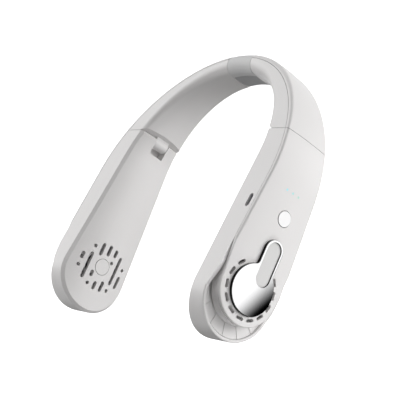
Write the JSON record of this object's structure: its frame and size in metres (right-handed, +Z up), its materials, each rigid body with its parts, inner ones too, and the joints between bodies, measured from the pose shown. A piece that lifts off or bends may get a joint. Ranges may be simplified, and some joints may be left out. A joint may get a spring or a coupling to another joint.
{
  "type": "electric neck fan",
  "caption": "Hands-free neck fan: a slim U-shaped band with a soft flexible nape and hinged paddle arms, each hiding a quiet blower that vents past the lid at its round tip",
  "frame": {"origin": "centre of the bounding box's base: the table it lies on, midway between the arms", "axes": "+X across the neck towards the arm with the button, +Y from the arm tips to the nape, +Z up as worn; the straight lower edges of both arms lie on z = 0"},
  "size_m": [0.2102, 0.2113, 0.0572],
  "materials": {
    "white_shell": "satin moulded plastic",
    "grey_sleeve": "matte silicone",
    "bright_badge": "mirror plated plastic",
    "pale_inlay": "satin",
    "button_white": "gloss",
    "light_guide": "clear tinted",
    "grey_plastic": "fine texture",
    "steel": "ground",
    "iron": "laminated or sintered",
    "winding": null,
    "board_green": "solder mask",
    "cell_foil": "pouch foil",
    "dark_plastic": "moulded"
  },
  "bodies": {
    "neck_left": {"band_inner_left": "white_shell", "band_outer_left": "white_shell", "hinge_leaf_left": "white_shell", "neck_sleeve": "grey_sleeve", "spring_strip": "steel"},
    "arm_left": {"arm_tray_left": "white_shell", "arm_cover_left": "white_shell", "hinge_pin_left": "steel", "hub_cap_left": "white_shell", "outlet_guide_left": "white_shell", "fan_shroud_left": "grey_plastic", "motor_base_left": "grey_plastic", "motor_stator_left": "iron", "motor_coils_left": "winding", "battery_cell_left": "cell_foil"},
    "rotor_left": {"impeller_left": "grey_plastic", "magnet_ring_left": "iron", "motor_shaft_left": "steel"},
    "neck_right": {"band_inner_right": "white_shell", "band_outer_right": "white_shell", "hinge_leaf_right": "white_shell"},
    "arm_right": {"arm_tray_right": "white_shell", "arm_cover_right": "white_shell", "hinge_pin_right": "steel", "hub_cap_right": "white_shell", "outlet_guide_right": "white_shell", "fan_shroud_right": "grey_plastic", "motor_base_right": "grey_plastic", "motor_stator_right": "iron", "motor_coils_right": "winding", "battery_cell_right": "cell_foil", "badge_plate": "bright_badge", "badge_inlay": "pale_inlay", "button_switch": "dark_plastic", "light_pipes": "light_guide", "indicator_leds": "light_guide", "circuit_board": "board_green", "board_screws": "steel", "usb_socket": "steel"},
    "rotor_right": {"impeller_right": "grey_plastic", "magnet_ring_right": "iron", "motor_shaft_right": "steel"},
    "power_button": {"power_button": "button_white"}
  },
  "joints": [
    {"name": "neck_flex", "type": "hinge", "parent": "neck_left", "child": "neck_right", "pos_m": [0, 0.09847, 0.01386], "axis": [0, 0.0837, 0.9965], "range_deg": [0, 15], "stiffness_Nm_per_rad": 2, "deforming": ["neck_sleeve", "spring_strip"]},
    {"name": "fold_left", "type": "hinge", "parent": "neck_left", "child": "arm_left", "pos_m": [-0.07676, 0.03495, 0.0192], "axis": [0, 0.0837, 0.9965], "range_deg": [0, 30]},
    {"name": "fold_right", "type": "hinge", "parent": "neck_right", "child": "arm_right", "pos_m": [0.07676, 0.03495, 0.0192], "axis": [0, -0.0837, -0.9965], "range_deg": [0, 30]},
    {"name": "spin_left", "type": "hinge", "parent": "arm_left", "child": "rotor_left", "pos_m": [-0.088, -0.06989, 0.028], "axis": [1, 0, 0], "continuous": true},
    {"name": "spin_right", "type": "hinge", "parent": "arm_right", "child": "rotor_right", "pos_m": [0.088, -0.06989, 0.028], "axis": [1, 0, 0], "continuous": true},
    {"name": "button_press", "type": "slide", "parent": "arm_right", "child": "power_button", "axis": [-1, 0, 0], "range_m": [0, 0.0008], "stiffness_N_per_m": 600}
  ]
}
